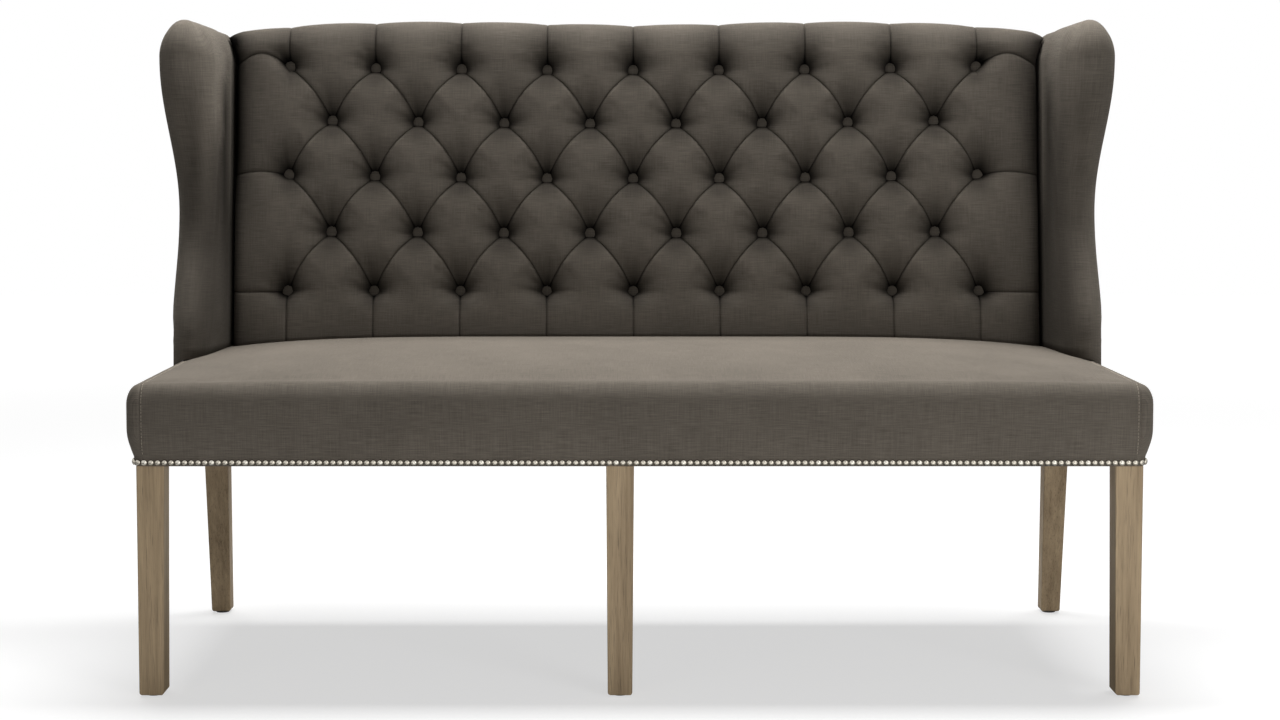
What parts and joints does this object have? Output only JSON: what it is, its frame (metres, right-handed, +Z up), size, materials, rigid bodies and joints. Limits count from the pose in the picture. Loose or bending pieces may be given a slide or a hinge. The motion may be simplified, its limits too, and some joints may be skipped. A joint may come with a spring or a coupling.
{
  "type": "banquette bench",
  "caption": "Upholstered banquette bench with a deep-buttoned wing back, a firm seat, a row of decorative nails and tapered wooden legs.",
  "frame": {"origin": "middle of the bench's footprint at floor level", "axes": "+Z up, -Y towards the front of the seat, +X to the right as seen from the front"},
  "size_m": [1.6858, 0.6859, 1.098],
  "materials": {
    "cloth": "matte",
    "foam": "matte",
    "show_wood": "satin",
    "frame_wood": "matte",
    "board": "matte",
    "webbing": "matte",
    "dust_cloth": "matte",
    "steel": "satin",
    "nails": "polished",
    "glides": "matte"
  },
  "bodies": {
    "root": {"front_leg_left": "show_wood", "front_leg_right": "show_wood", "front_leg_middle": "show_wood", "rear_leg_left": "show_wood", "rear_leg_right": "show_wood", "leg_glides": "glides", "front_rail_left": "frame_wood", "front_rail_right": "frame_wood", "side_rail_left": "frame_wood", "side_rail_right": "frame_wood", "rear_rail": "frame_wood", "cross_rail": "frame_wood", "frame_dowels": "frame_wood", "corner_blocks": "frame_wood", "block_screws": "steel", "webbing_across": "webbing", "webbing_along": "webbing", "seat_foam": "foam", "seat_cover": "cloth", "dust_cover": "dust_cloth", "nail_strip": "nails", "decorative_nails": "nails", "back_top_rail": "frame_wood", "back_middle_rail": "frame_wood", "back_bottom_rail": "frame_wood", "back_struts": "frame_wood", "back_board": "board", "board_screws": "steel", "back_foam": "foam", "back_cover": "cloth", "back_buttons": "cloth", "button_twines": "webbing", "twine_washers": "steel", "outside_back": "cloth", "wing_board_left": "board", "wing_board_right": "board", "wing_screws": "steel", "wing_foam_left": "foam", "wing_foam_right": "foam", "wing_cover_left": "cloth", "wing_cover_right": "cloth"}
  },
  "joints": []
}
